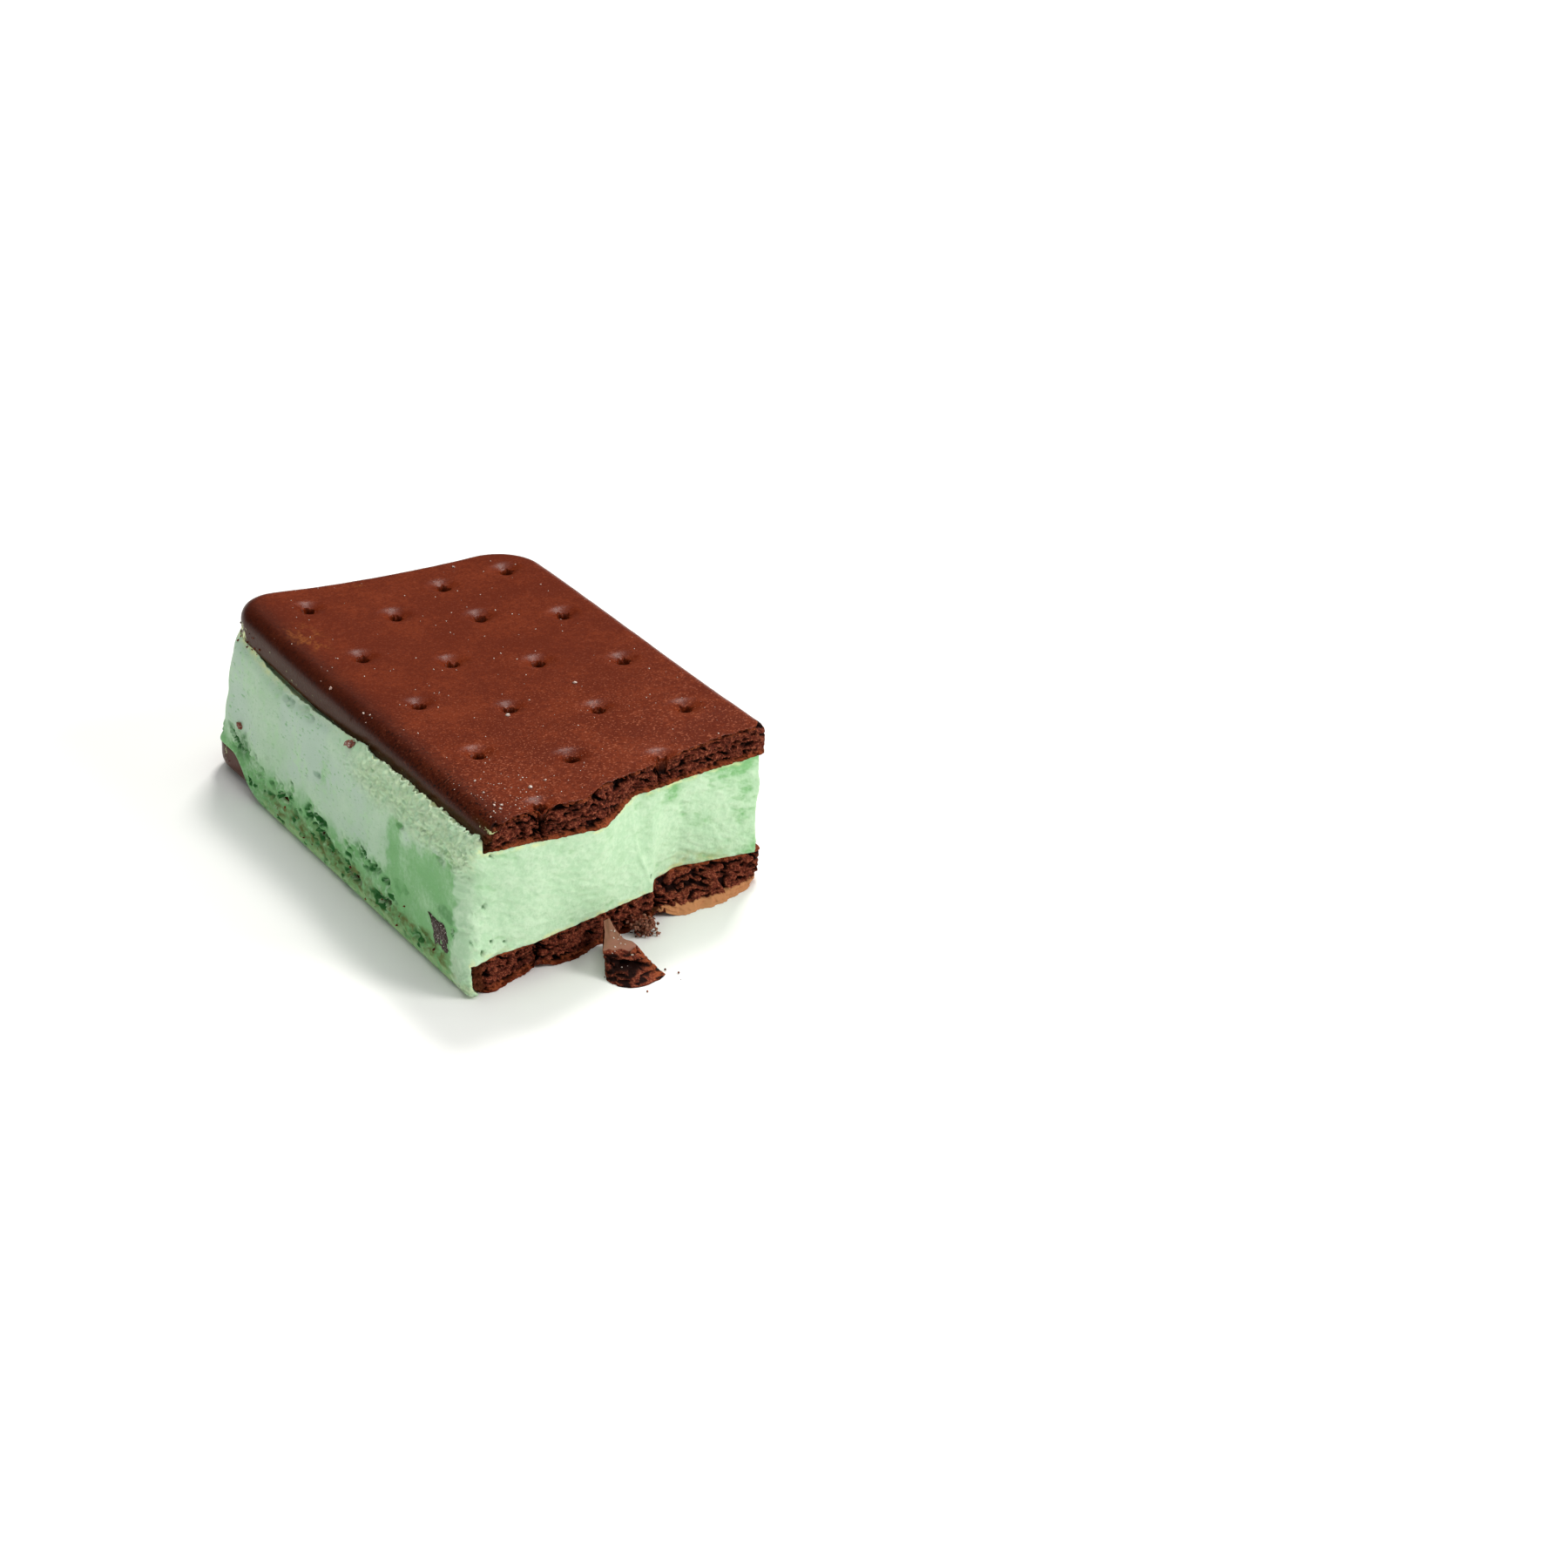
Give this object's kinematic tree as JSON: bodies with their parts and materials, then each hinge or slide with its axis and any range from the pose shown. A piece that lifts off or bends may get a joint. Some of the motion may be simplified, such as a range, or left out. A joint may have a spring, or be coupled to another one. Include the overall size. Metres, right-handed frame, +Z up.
{
  "type": "ice cream sandwich",
  "caption": "Half of a broken ice cream sandwich: mint ice cream between two chocolate wafers, with a flake of wafer at the break.",
  "frame": {"origin": "centre of the bounding box, at the table", "axes": "+X across the bar, +Y along the bar from the break to the baked end, +Z up"},
  "size_m": [0.0526, 0.091, 0.0256],
  "materials": {
    "wafer": "baked chocolate wafer, satin skin and rough dark crumb",
    "ice_cream": "pale mint ice cream, fibrous where it is broken and smeared where it is wiped",
    "chip": "dark chocolate chips",
    "frost": "white ice and sugar grains"
  },
  "bodies": {
    "root": {"wafer_top": "wafer", "ice_cream": "ice_cream", "wafer_bottom": "wafer", "wafer_flake": "wafer"}
  },
  "joints": []
}
